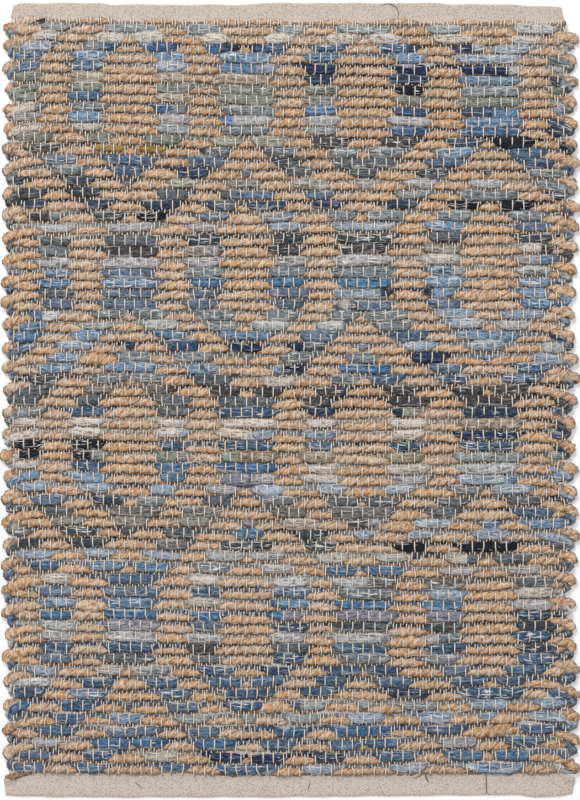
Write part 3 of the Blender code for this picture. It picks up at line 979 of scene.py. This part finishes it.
# The long ones: x, distance from the far end, height, length, heading and bend in degrees, weight, shade.
LONG_THREADS = [
    (0.0964, 0.0034, 0.0046, 0.029, 32, -150, 1.5, 2), (0.101, 0.0590, 0.0105, 0.019, 80, -330, 1.3, 0),
    (0.206, 0.8000, 0.0064, 0.036, -86, -6, 1.8, 2), (0.227, 0.8122, 0.0052, 0.016, -60, 200, 1.5, 2),
    (0.1422, 0.8143, 0.0052, 0.009, -65, 0, 2.6, 4), (0.1311, 0.8185, 0.0048, 0.011, 20, 10, 1.5, 4),
    (-0.1638, 0.8227, 0.0044, 0.010, -40, 0, 1.3, 2), (0.0184, 0.8311, 0.0044, 0.009, 65, 10, 1.3, 2),
    (-0.290, 0.4880, 0.0100, 0.022, 175, 60, 1.0, 0), (-0.285, 0.5350, 0.0100, 0.026, 190, -40, 1.0, 0),
    (0.292, 0.0870, 0.0100, 0.018, 20, 70, 1.0, 0), (0.290, 0.3640, 0.0100, 0.020, -15, 60, 1.0, 0),
    (-0.150, 0.5520, 0.0108, 0.046, 4, 14, 1.2, 0), (0.020, 0.2420, 0.0108, 0.040, 8, -20, 1.2, 0),
    (0.160, 0.1480, 0.0108, 0.052, -6, 24, 1.2, 0), (-0.040, 0.4480, 0.0108, 0.060, 2, -10, 1.2, 0),
    (0.120, 0.6900, 0.0108, 0.048, 10, -30, 1.2, 0), (-0.210, 0.6560, 0.0108, 0.042, -8, 26, 1.2, 0),
]
# Tufts, where a strip is worn through: x, distance from the far end, spread, threads, length, curl, shade.
TUFTS = [
    (0.0555, 0.3185, 0.0050, 34, 0.009, 110, 0), (0.0450, 0.3230, 0.0030, 16, 0.008, 110, 2),
    (-0.2665, 0.0200, 0.0012, 22, 0.009, 12, 4), (0.1030, 0.3060, 0.0030, 12, 0.010, 110, 4),
    (0.1410, 0.3060, 0.0040, 14, 0.010, 110, 4), (-0.2920, 0.0470, 0.0040, 12, 0.009, 60, 1),
    (0.2840, 0.0500, 0.0040, 12, 0.009, 60, 0), (-0.1000, 0.4830, 0.0060, 14, 0.009, 60, 0),
    (-0.1500, 0.5900, 0.0050, 14, 0.009, 60, 0), (0.2000, 0.6400, 0.0050, 12, 0.009, 60, 0),
]
thread_section = [(-THREAD_SIDE, -THREAD_UNDER), (0.0, THREAD_TOP), (THREAD_SIDE, -THREAD_UNDER)]
thread_chance = np.random.default_rng(29)


def thread(x, y, z, length, heading_degrees, bend_degrees, weight=1.0):
    """A thread lying on the cloth: rows of x, y, z, radius, tilt, along an even bend."""
    turn = np.radians(heading_degrees + bend_degrees * np.linspace(0, 1, THREAD_POINTS))
    step = length / (THREAD_POINTS - 1)
    line_x = x + np.insert(np.cumsum(np.cos(turn[:-1])), 0, 0.0) * step
    line_y = y + np.insert(np.cumsum(np.sin(turn[:-1])), 0, 0.0) * step
    taper = weight * np.sqrt(np.sin(np.linspace(0.25, np.pi - 0.25, THREAD_POINTS)))
    return np.stack([line_x, line_y, 0 * line_x + z, taper, 0 * line_x], axis=1)


thread_strands = []
thread_colors = []
for x, from_end, z, length, heading_degrees, bend_degrees, weight, tone in LONG_THREADS:
    y = RUG_LENGTH / 2 - from_end
    thread_strands.append(thread(x, y, z, length, heading_degrees, bend_degrees, weight))
    thread_colors += [LINT_SHADES[tone]] * THREAD_POINTS
for _ in range(LINT_COUNT):
    pair = int(thread_chance.integers(2, PAIRS))
    x = thread_chance.uniform(*LINT_ACROSS)
    y = float(row_y(pair, x)) + thread_chance.uniform(*LINT_ALONG)
    length = thread_chance.uniform(*LINT_LENGTHS)
    lie = thread_chance.normal(0.0, LINT_LIE)
    bend = thread_chance.normal(0.0, LINT_BEND)
    z = LINT_REST + thread_chance.uniform(*LINT_HEIGHTS)
    thread_strands.append(thread(x, y, z, length, lie - bend / 2, bend))
    tone = int(thread_chance.choice(len(LINT_ODDS), p=LINT_ODDS))
    thread_colors += [LINT_SHADES[tone]] * THREAD_POINTS
for x, from_end, spread, count, length, curl, tone in TUFTS:
    for _ in range(count):
        place_x = x + thread_chance.normal(0.0, spread * 0.7)
        place_y = RUG_LENGTH / 2 - from_end + thread_chance.normal(0.0, spread * 0.35)
        lie = thread_chance.normal(12.0, 0.22 * curl)
        bend = thread_chance.normal(0.0, curl)
        z = TUFT_REST + thread_chance.uniform(*TUFT_HEIGHTS)
        thread_strands.append(thread(place_x, place_y, z, length, lie, bend))
        thread_colors += [LINT_SHADES[tone]] * THREAD_POINTS
thread_mesh = yarn_mesh("loose_threads", thread_strands, thread_section)
paint_rings(thread_mesh, "thread_tone", np.array(thread_colors), thread_section)
thread_material, thread_shader, start = material_of("loose_thread", 0.9, 0.05)
place = round_yarn(start, 900.0, 1.0)[0]
thread_tone = mixed(noise(place, 1.0) * 0.3, painted(start, "thread_tone"), shade(150, 140, 128))
put_on(thread_material, thread_shader, thread_tone)
thread_piece = hung(cut_ends_closed(thread_mesh), thread_material)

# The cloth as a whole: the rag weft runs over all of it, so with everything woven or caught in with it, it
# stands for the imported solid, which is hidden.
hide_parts("rug")

# The floor is a plain pale sheet, and the light is a wide soft one from beyond the far end of the rug, with
# a faint even fill.
FLOOR_SIZE = 6.0
FLOOR_DROP = 0.0004
FLOOR_GLOW = 0.36
SKY_LIGHT = 0.36
# Lamps: name, place, width, power.
LAMPS = [("key", (-1.1, 2.6, 4.4), 1.8, 233.0), ("fill", (1.2, -1.8, 4.2), 3.0, 30.0)]
floor_mesh = bpy.data.meshes.new("floor")
bm = bmesh.new()
bmesh.ops.create_grid(bm, x_segments=1, y_segments=1, size=FLOOR_SIZE / 2)
bmesh.ops.translate(bm, verts=bm.verts, vec=(0.0, 0.0, -FLOOR_DROP))
bm.to_mesh(floor_mesh)
bm.free()
floor_material, floor_shader, start = material_of("pale_floor", 0.9, 0.0)
spot = place_on_rug(start)
floor_tone = mixed(noise(spot, 3.0), (0.56, 0.56, 0.56, 1.0), (0.59, 0.59, 0.59, 1.0))
put_on(floor_material, floor_shader, floor_tone)
floor_shader.inputs["Emission Color"].default_value = (1.0, 1.0, 1.0, 1.0)
floor_shader.inputs["Emission Strength"].default_value = FLOOR_GLOW
floor_mesh.materials.append(floor_material)
floor = in_scene("floor", floor_mesh)

world = bpy.data.worlds.new("studio")
bpy.context.scene.world = world
world.use_nodes = True
world.node_tree.nodes["Background"].inputs["Color"].default_value = (1.0, 1.0, 1.0, 1.0)
world.node_tree.nodes["Background"].inputs["Strength"].default_value = SKY_LIGHT
for name, place, size, power in LAMPS:
    light = bpy.data.lights.new(name, "AREA")
    light.size = size
    light.energy = power
    lamp = in_scene(name, light)
    lamp.location = place
    lamp.rotation_euler = (-lamp.location).to_track_quat("-Z", "Y").to_euler()
bpy.context.scene.view_settings.view_transform = "Standard"
